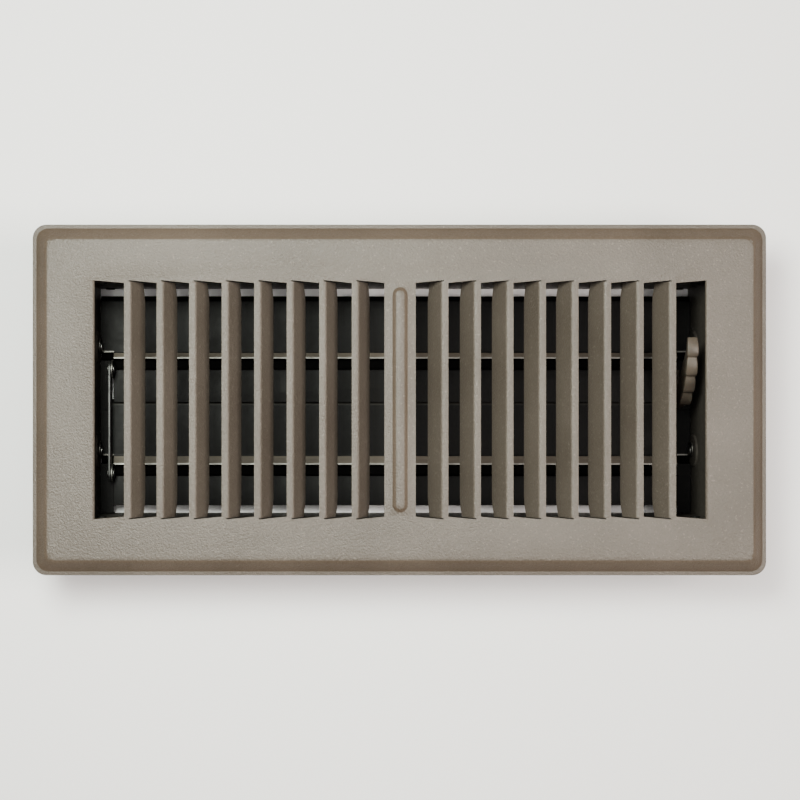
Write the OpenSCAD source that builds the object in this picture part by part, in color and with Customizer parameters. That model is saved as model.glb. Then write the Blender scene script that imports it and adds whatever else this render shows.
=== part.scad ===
// Stamped steel floor register: a louvred faceplate over a shallow box with a two-blade damper.
// The register drops into a floor duct opening. The plane z = 0 is the finished floor, +Z is up,
// +X runs along the length towards the thumbwheel, and +Y is the side where the wheel rolls to open.

/* [Faceplate] */
// Overall length of the faceplate
face_l = 292.1; // [270:0.1:380]
// Overall width of the faceplate
face_w = 139.7; // [122:0.1:200]
// Height of the raised face above the floor
face_h = 5; // [3.5:0.1:7]
// Thickness of the faceplate sheet
face_t = 0.8; // [0.6:0.1:1.2]
// Width of the flat lip that lies on the floor
lip_w = 1.6; // [1:0.1:3]
// Width of the sloping rim between the lip and the raised face
rim_w = 4.4; // [3:0.1:6]
// Corner radius of the lip in plan
lip_corner_r = 5.5; // [3:0.1:10]
// Corner radius of the raised face in plan
face_corner_r = 3.2; // [2:0.1:8]

/* [Louvres] */
// Number of fins on each side of the centre bar
fins_per_half = 8; // [5:1:9]
// Width of the centre bar
bar_w = 12.4; // [9:0.1:18]
// Width of the two end slots, one of which is the finger slot for the wheel
end_slot_w = 11.7; // [10:0.1:16]
// Distance from the box's inner end face to the end of the slot field
field_inset = 3.1; // [1:0.1:8]
// Flat width of each strip between a slot and the bend of its fin
strip_w = 1.8; // [1.2:0.1:3]
// How far a fin reaches below the top of the face
fin_depth = 9.2; // [6:0.1:10]
// Lean of the fins from the vertical, in degrees
fin_lean = 27; // [10:1:35]
// Depth of a fin at its ends, as a part of its full depth
fin_end_part = 0.85; // [0.5:0.05:0.9]
// Length over which a fin's lower edge rises at each end
fin_end_l = 8; // [5:0.5:15]
// How much shorter a slot is at its free edge than at its fin, at each end
slot_slant = 1.1; // [0:0.1:2]
// Width of the raised rib on the centre bar
rib_w = 5.9; // [4:0.1:8]
// Height of the raised rib above the face
rib_h = 1.2; // [0.8:0.1:2]
// Distance from each end of the slot field to the end of the rib
rib_end_gap = 2.6; // [1:0.1:10]

/* [Damper box] */
// Outside length of the box, which drops into the duct
box_l = 249; // [207.5:0.1:300]
// Outside width of the box
box_w = 95.6; // [88:0.1:120]
// Depth of the box below the floor
box_drop = 36; // [34:0.5:60]
// Thickness of the box sheet
wall_t = 0.6; // [0.5:0.1:1]
// Width of the flanges welded under the faceplate
flange_w = 8; // [5:0.5:12]
// Length of the end walls' wings along the long walls
wing_l = 9; // [7:0.5:14]
// Radius of the round boss pressed into an end wall at each pivot
boss_r = 7; // [5:0.1:8]
// Height of that boss
boss_h = 0.7; // [0.4:0.1:0.9]

/* [Damper blades] */
// Depth of the pivots below the top of the face
pivot_depth = 31; // [29:0.5:40]
// Thickness of the blade sheet
blade_t = 0.6; // [0.5:0.1:0.8]
// Gap between the rear blade's edge and the rear wall
gap_rear = 3.4; // [2:0.1:6]
// Gap between the front blade's edge and the front wall
gap_front = 3.6; // [3.3:0.1:6]
// How far the rear blade overlaps the front blade when closed
blade_overlap = 1.4; // [0.8:0.1:3]
// How much wider a blade is in front of its pivot than behind it
blade_skew = 1.2; // [0:0.1:3]
// Clearance between a blade's end and the end wall
blade_end_gap = 1; // [0.9:0.1:2]
// Length of the narrow fingers at each end of a blade
finger_l = 5.5; // [5:0.1:7]
// How far the fingers reach past the blade's front edge
finger_reach = 3.2; // [1:0.1:3.2]

/* [Pivots and link] */
// Radius of the pivot rivets' shanks
pivot_r = 1.5; // [1:0.1:2]
// Radial running clearance of a turning hole on its rivet
run_gap = 0.06; // [0.02:0.01:0.1]
// Radial clearance of the link's front hole, where the closed linkage stays open
open_gap = 0.3; // [0.2:0.05:0.4]
// Distance of the link rivets in front of the pivots
crank_y = 9.2; // [8.5:0.1:11]
// Height of the link rivets above the pivots
crank_z = 3.2; // [3:0.1:5]
// Radius of the link rivets' shanks
link_pin_r = 1.2; // [0.8:0.1:1.5]
// Thickness of the link bar
link_t = 0.8; // [0.6:0.1:1]
// Width of the link bar
link_w = 7; // [6:0.1:7]

/* [Thumbwheel] */
// Radius of the thumbwheel over its finger ribs
wheel_r = 28; // [24:0.1:28]
// Width of the thumbwheel's rim
wheel_w = 4.6; // [3:0.1:5.4]
// Thickness of the web behind the rim
web_t = 2.4; // [1.6:0.1:3]
// Angle from the vertical to the sector's rear end, in degrees
wheel_rear_a = 6; // [2:1:6]
// Angle from the vertical to the sector's front end, in degrees
wheel_front_a = 62; // [45:1:62]
// Number of stepped finger ribs on the rim
wheel_steps = 4; // [3:1:8]

/* [Hidden] */
$fn = 48;
overlap = 0.2; // how far joined features run into each other within one piece
seat_gap = 0.02; // clearance of a rivet in its fixed hole
side_gap = 0.3; // sideways clearance between parts that turn past each other

inner_l = box_l - 2 * wall_t;
inner_w = box_w - 2 * wall_t;
face_under = face_h - face_t;
box_bottom = -box_drop;
// A flange keeps clear of the faceplate's rim when the box is large for the plate
flange_end = min(flange_w, face_l / 2 - lip_w - rim_w - face_t - 0.5 - inner_l / 2);
flange_side = min(flange_w, face_w / 2 - lip_w - rim_w - face_t - 0.5 - inner_w / 2);
pivot_z = face_h - pivot_depth;

// Slot field and fin spacing
field_x = inner_l / 2 - field_inset;
fin_pitch = (field_x - end_slot_w - bar_w / 2) / fins_per_half;
slot_half = inner_w / 2 + 0.1;
bend_r = 1.1; // radius of the sheet's middle line in a fin's bend
roll_r = 0.9; // radius of the rolled border of the end slots
roll_w = roll_r * cos(20) + face_t / 2; // how far the rolled border reaches into the slot's cut

// Blade layout across the box: both blades are the same piece
blade_pitch = (inner_w - gap_rear - gap_front - blade_overlap) / 2;
blade_w = blade_pitch + blade_overlap;
blade_back = (blade_w - blade_skew) / 2;
blade_front = blade_w - blade_back;
rear_pivot_y = inner_w / 2 - gap_rear - blade_back;
front_pivot_y = rear_pivot_y - blade_pitch;
blade_x = inner_l / 2 - blade_end_gap;
main_x = blade_x - finger_l;
back_z = -2.6; // middle of the rear half's sheet, below the pivot
front_z = -1.6; // middle of the front half's sheet, above the next blade's rear half
lip_drop = 1.8; // the rear edge turns down at 45 degrees by this much
ear_w = 6; // width of the ear that carries a pivot
ear_shift = 0.7; // the ear's middle lies behind the pivot by this much
ear_top = 3.2;
foot_front = ear_shift - ear_w / 2; // front cut edge of the ear's foot
end_groove = 3; // width of the groove beside the ear's foot
fold_start = -1.9;
fold_edge = -4.9;
fold_top = -1.5;
groove_bottom = -4.4;
groove_end = -9.5;
front_fold_shift = -1.2; // the front blade's fold and groove lie this much further forward

// Link end: ear tab, link bar and rivet stack, from the box's middle outwards
tab_w = 7.6;
tab_x = main_x + 0.1; // outer face of the crank tab lies just past the blade's main part
link_x = tab_x + side_gap; // inner face of the link bar
slit_in = tab_x;
slit_out = link_x + link_t + side_gap;
slit_y = -(crank_y - 3.2); // the slit starts here and runs out of the front edge
head_t = 0.7;

// Wheel end
wheel_x = main_x - 0.7; // middle plane of the thumbwheel
rim_t = 2.6;
wheel_rivet_r = 1.1;
wheel_rivet_x = wheel_x - 1; // the rivets stand inboard of the rim, clear of the slit
foot_in = wheel_rivet_x - 2.4; // the foot's face towards the middle of the box
wheel_rivet_ys = [-12.3, -17.7];
base_t = 1.8;

rivet_head_r = 3;
rivet_head_t = 1.1;
rivet_tail_r = 2.3;
washer_t = 0.3;
corner_rivet_r = 1.2;
corner_rivet_zs = [-6, box_bottom + 3.2];
ear_in = blade_x - blade_t; // inner face of an ear
boss_face = inner_l / 2 - boss_h; // inner face of a pressed boss

// ---- helpers ----

function unit(v) = v / norm(v);
function left_of(v) = [-v[1], v[0]];
// Direction and length of the mitre at point i of a line of points
function mitre(pts, i) =
    let (last = len(pts) - 1,
        a = unit(pts[max(i, 1)] - pts[max(i, 1) - 1]),
        b = unit(pts[min(i, last - 1) + 1] - pts[min(i, last - 1)]),
        m = unit(left_of(a) + left_of(b)))
    m / (m * left_of(a));
function arc_points(c, r, a0, a1, n) =
    [for (i = [0:n]) c + r * [cos(a0 + (a1 - a0) * i / n), sin(a0 + (a1 - a0) * i / n)]];

// A sheet of thickness t, seen edge-on, whose middle follows the points
module bent_sheet(pts, t) {
    last = len(pts) - 1;
    polygon(concat(
        [for (i = [0:last]) pts[i] + mitre(pts, i) * t / 2],
        [for (i = [last:-1:0]) pts[i] - mitre(pts, i) * t / 2]));
}

// Extrudes a section drawn in Y and Z along X, from x0 to x1
module along_x(x0, x1) {
    translate([x0, 0, 0]) rotate([90, 0, 90]) linear_extrude(x1 - x0) children();
}

// Extrudes a section drawn in X and Z along Y, evenly about y = 0
module along_y(l) {
    rotate([90, 0, 0]) linear_extrude(l, center = true) children();
}

module rod_x(x0, x1, r, y, z) {
    translate([x0, y, z]) rotate([0, 90, 0]) cylinder(h = x1 - x0, r = r);
}

module rounded_plate(l, w, r, z, t) {
    translate([0, 0, z]) linear_extrude(t)
        union() {
            square([l - 2 * r, w], center = true);
            square([l, w - 2 * r], center = true);
            for (x = [-1, 1], y = [-1, 1])
                translate([x * (l / 2 - r), y * (w / 2 - r)]) circle(r, $fn = 32);
        }
}

// ---- faceplate ----

// Middle line of a fin: flat tongue, bend, straight blade
function fin_line() =
    let (turn = 90 - fin_lean,
        c = [0, face_h - face_t / 2 - bend_r],
        bend = arc_points(c, bend_r, 90, 90 - turn, 8),
        tip = bend[8],
        dir = [sin(fin_lean), -cos(fin_lean)],
        run = (tip[1] - (face_h - fin_depth)) / cos(fin_lean))
    concat([[-overlap, face_h - face_t / 2]], bend, [tip + dir * run]);

// Outline of a fin in Y and Z: full depth in the middle, shallower at both ends
module fin_outline() {
    half = slot_half - 0.5;
    low = face_h - fin_depth - face_t;
    step = fin_depth * (1 - fin_end_part);
    rise = [for (i = [0:8]) [half - fin_end_l * (1 - i / 8), low + step * (1 - cos(90 * i / 8))]];
    right = concat([[0, low]], rise, [[half, face_h]]);
    polygon(concat(right, [for (i = [len(right) - 1:-1:0]) [-right[i][0], right[i][1]]]));
}

// One fin of the right half, hanging from its bend at x and leaning towards the centre
module fin(x) {
    translate([x, 0, 0]) mirror([1, 0, 0]) intersection() {
        along_y(2 * slot_half) bent_sheet(fin_line(), face_t);
        along_x(-5, 25) fin_outline();
    }
}

module slot_cut(free_x, fin_x) {
    translate([0, 0, face_under - 1]) linear_extrude(face_t + 2)
        polygon([[fin_x, slot_half], [fin_x, -slot_half],
            [free_x, slot_slant - slot_half], [free_x, slot_half - slot_slant]]);
}

function strip_edge(k) = bar_w / 2 + k * fin_pitch;

module rib_body(r, top) {
    centre_z = face_h + top - r;
    run = 2 * slot_half - 2 * rib_end_gap - rib_w;
    translate([0, 0, centre_z]) rotate([90, 0, 0]) cylinder(h = run, r = r, center = true);
    for (s = [-1, 1]) translate([0, s * run / 2, centre_z]) sphere(r);
}

module faceplate_shell() {
    raised_l = face_l - 2 * (lip_w + rim_w);
    raised_w = face_w - 2 * (lip_w + rim_w);
    difference() {
        union() {
            rounded_plate(face_l, face_w, lip_corner_r, 0, face_t);
            hull() {
                rounded_plate(face_l - 2 * lip_w, face_w - 2 * lip_w, lip_corner_r - 0.8, 0, face_t);
                rounded_plate(raised_l, raised_w, face_corner_r, face_h - 0.1, 0.1);
            }
        }
        hull() {
            rounded_plate(face_l - 2 * lip_w - 2 * face_t, face_w - 2 * lip_w - 2 * face_t,
                lip_corner_r - 1.2, -0.1, 0.1);
            rounded_plate(raised_l - 1.4 * face_t, raised_w - 1.4 * face_t,
                face_corner_r - 0.5, face_under - 0.1, 0.1);
        }
    }
}

module faceplate() {
    rib_r = (rib_w * rib_w / 4 + rib_h * rib_h) / (2 * rib_h);
    color("#9b958a") union() {
        difference() {
            faceplate_shell();
            for (s = [-1, 1]) {
                for (k = [1:fins_per_half])
                    slot_cut(s * strip_edge(k - 1), s * (strip_edge(k) - strip_w));
                slot_cut(s * strip_edge(fins_per_half), s * (field_x + roll_w));
            }
            intersection() {
                rib_body(rib_r - face_t, rib_h - face_t);
                translate([-bar_w / 2, -slot_half, face_under - 1])
                    cube([bar_w, 2 * slot_half, rib_h + face_t + 1]);
            }
        }
        difference() {
            intersection() {
                rib_body(rib_r, rib_h);
                translate([-bar_w / 2, -slot_half, face_h - overlap])
                    cube([bar_w, 2 * slot_half, rib_h + 1]);
            }
            rib_body(rib_r - face_t, rib_h - face_t);
        }
        for (k = [1:fins_per_half]) {
            fin(strip_edge(k) - strip_w);
            mirror([1, 0, 0]) fin(strip_edge(k) - strip_w);
        }
        for (s = [0, 1]) mirror([s, 0, 0]) translate([field_x + roll_w, 0, 0]) mirror([1, 0, 0])
            along_y(2 * slot_half - 2 * slot_slant) bent_sheet(concat([[-1, face_h - face_t / 2]],
                arc_points([0, face_h - face_t / 2 - roll_r], roll_r, 90, 20, 6)), face_t);
    }
}

// ---- damper box ----

// Long wall with its welded flange turned outwards
module long_wall(side) {
    y_in = inner_w / 2;
    color("#23211f") mirror([0, side > 0 ? 0 : 1, 0]) difference() {
        along_x(-inner_l / 2, inner_l / 2)
            bent_sheet([[y_in + wall_t / 2, box_bottom],
                [y_in + wall_t / 2, face_under - wall_t / 2],
                [y_in + flange_side, face_under - wall_t / 2]], wall_t);
        for (s = [-1, 1]) {
            translate([s * (inner_l / 2 - 3) - (s > 0 ? 0 : 4), y_in + wall_t + overlap / 2, face_under - 3])
                cube([4, flange_w, 4]);
            for (z = corner_rivet_zs)
                translate([s * (inner_l / 2 - wing_l / 2), y_in - 1, z]) rotate([-90, 0, 0])
                    cylinder(h = wall_t + 2, r = corner_rivet_r + seat_gap);
        }
    }
}

// End wall for the +X end: a plate with two wings over the long walls and a welded flange
module end_wall() {
    x_in = inner_l / 2;
    wing_y = box_w / 2;
    difference() {
        union() {
            translate([x_in, -wing_y - wall_t, box_bottom])
                cube([wall_t, box_w + 2 * wall_t, face_under - box_bottom]);
            for (s = [-1, 1]) translate([x_in + wall_t - wing_l, s > 0 ? wing_y : -wing_y - wall_t, box_bottom])
                cube([wing_l, wall_t, face_under - wall_t - 0.3 - box_bottom]);
            translate([x_in, -inner_w / 2, face_under - wall_t])
                cube([flange_end, inner_w, wall_t]);
            for (y = [rear_pivot_y, front_pivot_y])
                translate([boss_face, y, pivot_z]) rotate([0, 90, 0])
                    cylinder(h = boss_h + wall_t / 2, r1 = boss_r - boss_h, r2 = boss_r + wall_t / 2);
        }
        for (y = [rear_pivot_y, front_pivot_y]) {
            translate([boss_face + wall_t, y, pivot_z]) rotate([0, 90, 0])
                cylinder(h = boss_h + 0.01, r1 = boss_r - boss_h - wall_t / 2, r2 = boss_r - wall_t / 2);
            rod_x(x_in - 2, x_in + 2, pivot_r + seat_gap, y, pivot_z);
        }
        for (s = [-1, 1], z = corner_rivet_zs)
            translate([x_in - wing_l / 2, s * (wing_y - 1), z]) rotate([s > 0 ? -90 : 90, 0, 0])
                cylinder(h = wall_t + 2, r = corner_rivet_r + seat_gap);
    }
}

module rear_wall() long_wall(1);
module front_wall() long_wall(-1);
module wheel_end_wall() color("#23211f") end_wall();
module link_end_wall() color("#23211f") mirror([1, 0, 0]) end_wall();

// ---- damper blades ----

function back_half_line() = [
    [blade_back - blade_t / 2, back_z - lip_drop],
    [blade_back - blade_t / 2 - lip_drop, back_z]];

// Section of a blade's main part: rear edge turned down, stiffening fold and groove, front half
module main_section(shift) {
    bent_sheet(concat(back_half_line(), [
        [fold_start, back_z],
        [fold_edge + shift + 0.6, fold_top],
        [fold_edge + shift + 0.45, fold_top - 0.75],
        [fold_edge + shift + 0.1, groove_bottom],
        [groove_end + shift + 0.5, groove_bottom],
        [groove_end + shift, front_z],
        [-blade_front, front_z]]), blade_t);
}

// Section of a finger: the groove lies nearer the pivot and the front half runs further
module finger_section() {
    bent_sheet(concat(back_half_line(), [
        [foot_front + blade_t / 2, back_z],
        [foot_front + blade_t / 2 - 0.01, groove_bottom],
        [foot_front - end_groove, groove_bottom],
        [foot_front - end_groove - 0.2, front_z],
        [-blade_front - finger_reach, front_z]]), blade_t);
}

// Ear of the +X end, turned up from the rear half, with its pivot hole
module ear() {
    difference() {
        translate([ear_in, ear_shift - ear_w / 2, back_z])
            cube([blade_t, ear_w, ear_top - back_z]);
        rod_x(ear_in - 1, ear_in + 2, pivot_r + run_gap, 0, 0);
    }
}

// One blade about its own pivot line. Only the rear one has the link's slit and the wheel's rivet holes.
module blade(rear) {
    color("#2c2c2e") difference() {
        union() {
            along_x(-main_x, main_x) main_section(rear ? 0 : front_fold_shift);
            for (s = [0, 1]) mirror([s, 0, 0]) {
                along_x(main_x - overlap, blade_x) finger_section();
                ear();
            }
            translate([-tab_x, 0, 0]) {
                translate([0, -crank_y - tab_w / 2, front_z]) cube([blade_t, tab_w, crank_z - front_z]);
                rod_x(0, blade_t, tab_w / 2, -crank_y, crank_z);
            }
        }
        if (rear) translate([-slit_out, -blade_front - finger_reach - 1, -8])
            cube([slit_out - slit_in, blade_front + finger_reach + 1 + slit_y, 7.5]);
        rod_x(-tab_x - 1, -tab_x + blade_t + 1, link_pin_r + seat_gap, -crank_y, crank_z);
        if (rear) for (y = wheel_rivet_ys)
            translate([wheel_rivet_x, y, front_z - 2]) cylinder(h = 4, r = wheel_rivet_r + seat_gap);
    }
}

module rear_blade() translate([0, rear_pivot_y, pivot_z]) blade(true);
module front_blade() translate([0, front_pivot_y, pivot_z]) blade(false);

// ---- link ----

module link_bar() {
    y0 = front_pivot_y - crank_y;
    y1 = rear_pivot_y - crank_y;
    z = pivot_z + crank_z;
    color("#b9b8b4") difference() {
        union() {
            translate([-link_x - link_t, y0, z - link_w / 2]) cube([link_t, y1 - y0, link_w]);
            for (y = [y0, y1]) rod_x(-link_x - link_t, -link_x, link_w / 2, y, z);
        }
        rod_x(-link_x - link_t - 1, -link_x + 1, link_pin_r + run_gap, y1, z);
        rod_x(-link_x - link_t - 1, -link_x + 1, link_pin_r + open_gap, y0, z);
    }
}

// Shank through the crank tab and the link, with a head on each side
module link_rivet(y) {
    z = pivot_z + crank_z;
    color("#c9c8c4") {
        rod_x(-link_x - link_t - 0.15 - head_t, -tab_x + blade_t + head_t, link_pin_r, y - crank_y, z);
        rod_x(-link_x - link_t - 0.15 - head_t, -link_x - link_t - 0.15, 2.1, y - crank_y, z);
        rod_x(-tab_x + blade_t, -tab_x + blade_t + head_t, 1.9, y - crank_y, z);
    }
}

module link_rivet_rear() link_rivet(rear_pivot_y);
module link_rivet_front() link_rivet(front_pivot_y);

// ---- pivots ----

// Rivet at the +X end: head outside the wall, shank through wall and ear, tail inside
module pivot_rivet(y, under_head = 0) {
    seat = boss_face + wall_t + under_head;
    color("#c9c8c4") {
        rod_x(seat, seat + rivet_head_t, rivet_head_r, y, pivot_z);
        rod_x(ear_in - side_gap / 2 - head_t, seat + overlap, pivot_r, y, pivot_z);
        rod_x(ear_in - side_gap / 2 - head_t, ear_in - side_gap / 2, rivet_tail_r, y, pivot_z);
    }
}

module pivot_rivet_rear_wheel_end() pivot_rivet(rear_pivot_y, washer_t);
module pivot_rivet_front_wheel_end() pivot_rivet(front_pivot_y);
module pivot_rivet_rear_link_end() mirror([1, 0, 0]) pivot_rivet(rear_pivot_y);
module pivot_rivet_front_link_end() mirror([1, 0, 0]) pivot_rivet(front_pivot_y);

module friction_washer() {
    x = boss_face + wall_t;
    color("#8c8c8a") difference() {
        rod_x(x, x + washer_t, rivet_head_r + 0.3, rear_pivot_y, pivot_z);
        rod_x(x - 1, x + 1, pivot_r + 0.1, rear_pivot_y, pivot_z);
    }
}

// ---- thumbwheel ----

// Rim outline in Y and Z about the pivot: stepped finger ribs outside, plain arc inside
function rim_angle(i, n) = 90 - wheel_rear_a + (wheel_front_a + wheel_rear_a) * i / n;
function rim_steps() = [for (i = [0:wheel_steps - 1], j = [0:6])
    let (a = rim_angle(i + j / 6, wheel_steps), r = wheel_r - 1.1 * (1 - j / 6) * (j < 6 ? 1 : 0))
    r * [cos(a), sin(a)]];

module wheel_rim() {
    polygon(concat(rim_steps(),
        arc_points([0, 0], wheel_r - rim_t, rim_angle(1, 1), rim_angle(0, 1), 24)));
}

module wheel_web() {
    r = wheel_r - rim_t + overlap;
    base = front_z + blade_t / 2 + 0.01;
    polygon(concat(arc_points([0, 0], r, rim_angle(0, 1), rim_angle(1, 1), 24),
        [[wheel_rivet_ys[1] - 3, base], [wheel_rivet_ys[0] + 3, base], [-5.5, base + 2], [0, base + 2.5]]));
}

module thumbwheel() {
    base = front_z + blade_t / 2 + 0.01;
    y0 = wheel_rivet_ys[1] - 3;
    y1 = wheel_rivet_ys[0] + 3;
    color("#8f8475") translate([0, rear_pivot_y, pivot_z]) difference() {
        union() {
            along_x(wheel_x - wheel_w / 2, wheel_x + wheel_w / 2) wheel_rim();
            along_x(wheel_x - web_t / 2, wheel_x + web_t / 2) wheel_web();
            translate([foot_in, y0, base]) cube([wheel_x + web_t / 2 - foot_in, y1 - y0, base_t]);
        }
        for (y = wheel_rivet_ys) {
            translate([wheel_rivet_x, y, base - 1]) cylinder(h = 6, r = wheel_rivet_r + seat_gap);
            translate([wheel_rivet_x, y, base + base_t]) cylinder(h = 4, r = 1.9);
        }
    }
}

module wheel_rivets() {
    base = front_z - blade_t / 2;
    color("#c9c8c4") for (y = wheel_rivet_ys)
        translate([wheel_rivet_x, rear_pivot_y + y, pivot_z + base]) {
            translate([0, 0, -head_t]) cylinder(h = blade_t + base_t + 2 * head_t, r = wheel_rivet_r);
            translate([0, 0, -head_t]) cylinder(h = head_t, r = 1.8);
            translate([0, 0, blade_t + base_t + 0.01]) cylinder(h = head_t, r = 1.7);
        }
}

// ---- corner rivets ----

// Two rivets through the wing and the long wall of the corner at +X and +Y
module corner_rivets() {
    y_in = inner_w / 2;
    y_out = box_w / 2 + wall_t;
    color("#c9c8c4") for (z = corner_rivet_zs)
        translate([inner_l / 2 - wing_l / 2, 0, z]) rotate([-90, 0, 0]) {
            translate([0, 0, y_in - 0.5]) cylinder(h = y_out - y_in + 1, r = corner_rivet_r);
            translate([0, 0, y_in - 0.5]) cylinder(h = 0.5, r = 2);
            translate([0, 0, y_out]) cylinder(h = 0.6, r = 2.2);
        }
}

module corner_rivets_rear_wheel_end() corner_rivets();
module corner_rivets_rear_link_end() mirror([1, 0, 0]) corner_rivets();
module corner_rivets_front_wheel_end() mirror([0, 1, 0]) corner_rivets();
module corner_rivets_front_link_end() mirror([1, 0, 0]) mirror([0, 1, 0]) corner_rivets();

faceplate();
rear_wall();
front_wall();
link_end_wall();
wheel_end_wall();
rear_blade();
front_blade();
link_bar();
thumbwheel();
pivot_rivet_rear_link_end();
pivot_rivet_rear_wheel_end();
pivot_rivet_front_link_end();
pivot_rivet_front_wheel_end();
friction_washer();
link_rivet_rear();
link_rivet_front();
wheel_rivets();
corner_rivets_rear_link_end();
corner_rivets_rear_wheel_end();
corner_rivets_front_link_end();
corner_rivets_front_wheel_end();
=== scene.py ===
"""Stamped steel floor register with a two-blade damper, dressed around its CAD frame."""

import logging
import math
from dataclasses import dataclass, field
from enum import Enum, IntEnum
from typing import Callable, Sequence

import bmesh
import bpy
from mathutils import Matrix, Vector


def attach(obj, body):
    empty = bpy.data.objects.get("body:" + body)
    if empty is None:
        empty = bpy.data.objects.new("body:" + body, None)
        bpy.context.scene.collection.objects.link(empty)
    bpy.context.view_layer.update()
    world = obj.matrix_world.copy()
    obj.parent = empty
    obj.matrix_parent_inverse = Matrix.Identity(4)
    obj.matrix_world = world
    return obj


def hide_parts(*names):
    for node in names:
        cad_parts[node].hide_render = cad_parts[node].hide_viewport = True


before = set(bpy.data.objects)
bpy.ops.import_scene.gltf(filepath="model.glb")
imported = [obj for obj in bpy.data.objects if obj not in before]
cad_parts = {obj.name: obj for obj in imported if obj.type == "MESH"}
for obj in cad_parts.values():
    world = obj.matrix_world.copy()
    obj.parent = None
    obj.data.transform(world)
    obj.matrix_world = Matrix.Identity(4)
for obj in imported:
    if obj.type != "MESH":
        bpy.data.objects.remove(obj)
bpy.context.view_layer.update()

log = logging.getLogger("register")
MM = 0.001
Vec2 = tuple[float, float]
Vec3 = tuple[float, float, float]
Material = bpy.types.Material
Tree = bpy.types.NodeTree
Socket = bpy.types.NodeSocket
Piece = bpy.types.Object
Test = Callable[[Vector], bool]


class End(Enum):
    """Which end of the register a repeated feature belongs to, as the sign of its X."""

    LINK = -1
    WHEEL = 1


class Axis(IntEnum):
    """Which way a hole, a disc or a cut faces."""

    X = 0
    Y = 1
    Z = 2


class Part(Enum):
    """What is selected in edit mode."""

    VERT = "verts"
    EDGE = "edges"
    FACE = "faces"


# how a round that faces along Z is turned to face along X, Y and Z
TURNS = ((0, math.pi / 2, 0), (math.pi / 2, 0, 0), (0, 0, 0))
RIVET_SIDES = 24


# ---- colour and shader helpers ----


def linear(hex_colour: str) -> tuple[float, float, float, float]:
    """Turns an sRGB hex colour to a linear RGBA colour.

    Args:
        hex_colour: colour such as "#8c8375".

    Returns:
        Linear red, green, blue and an alpha of 1.
    """
    raw = [int(hex_colour[i : i + 2], 16) / 255 for i in (1, 3, 5)]
    r, g, b = (c / 12.92 if c <= 0.04045 else ((c + 0.055) / 1.055) ** 2.4 for c in raw)
    return r, g, b, 1.0


def per_mm(size_mm: float) -> float:
    """Gives the texture scale, per metre, whose features are size_mm wide."""
    return 1 / (size_mm * MM)


def add(tree: Tree, kind: str, sockets: dict | None = None, **settings: object) -> bpy.types.Node:
    """Adds one node to a shader tree.

    Args:
        tree: the tree that gets the node.
        kind: the node's type without its ShaderNode prefix.
        sockets: input socket name or index to a value, or to another node's output, which is linked.
        **settings: the node's own properties.

    Returns:
        The new node.
    """
    made = tree.nodes.new("ShaderNode" + kind)
    for name, value in settings.items():
        setattr(made, name, value)
    for name, value in (sockets or {}).items():
        if isinstance(value, Socket):
            tree.links.new(value, made.inputs[name])
        else:
            made.inputs[name].default_value = value
    return made


def start_material(name: str) -> tuple[Material, Tree, Socket]:
    """Makes an empty node material.

    Args:
        name: the finish's name.

    Returns:
        The material, its tree and its Object coordinates.
    """
    made = bpy.data.materials.new(name)
    made.use_nodes = True
    tree = made.node_tree
    tree.nodes.clear()
    return made, tree, add(tree, "TexCoord").outputs["Object"]


def stain(
    tree: Tree, pattern: Socket, span: Vec2, under: Socket | str, over: str, share: float = 1.0,
) -> Socket:
    """Lays a colour over another one where a pattern is high.

    Args:
        tree: the material's tree.
        pattern: the pattern.
        span: where in the pattern's range the upper colour starts and is full.
        under: the lower colour, as a socket or sRGB hex.
        over: the upper colour, as sRGB hex.
        share: how much of the upper colour shows where it is full.

    Returns:
        The mixed colour.
    """
    reach = {"Value": pattern, "From Min": span[0], "From Max": span[1], "To Max": share}
    amount = add(tree, "MapRange", reach).outputs[0]
    lower = linear(under) if isinstance(under, str) else under
    return add(tree, "Mix", {0: amount, 6: lower, 7: linear(over)}, data_type="RGBA").outputs[2]


def relief(
    tree: Tree, height: Socket, bump: Vec2, roughness: Vec2, gloss: Socket | None = None,
    span: Vec2 = (0.3, 0.7), under: Socket | None = None,
) -> dict[str, Socket]:
    """Makes the bump of one pattern, and the gloss that goes with it.

    Args:
        tree: the material's tree.
        height: the pattern that stands out.
        bump: how strongly it stands out, and how deep it is in metres.
        roughness: the roughness at the two ends of the span.
        gloss: the pattern that the roughness follows, if it is another one.
        span: the part of that pattern's range that is used.
        under: a coarser bump that this one lies on.

    Returns:
        The shader's Roughness and Normal inputs.
    """
    below = {"Normal": under} if under else {}
    raised = add(tree, "Bump", {"Height": height, "Strength": bump[0], "Distance": bump[1], **below})
    rough = add(tree, "MapRange", {
        "Value": gloss or height, "From Min": span[0], "From Max": span[1],
        "To Min": roughness[0], "To Max": roughness[1],
    })
    return {"Roughness": rough.outputs[0], "Normal": raised.outputs[0]}


def end_material(tree: Tree, sockets: dict) -> None:
    """Closes a material with a Principled shader that gets these inputs, and the output."""
    shader = add(tree, "BsdfPrincipled", sockets)
    add(tree, "OutputMaterial", {"Surface": shader.outputs[0]})


# ---- finishes ----


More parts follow.
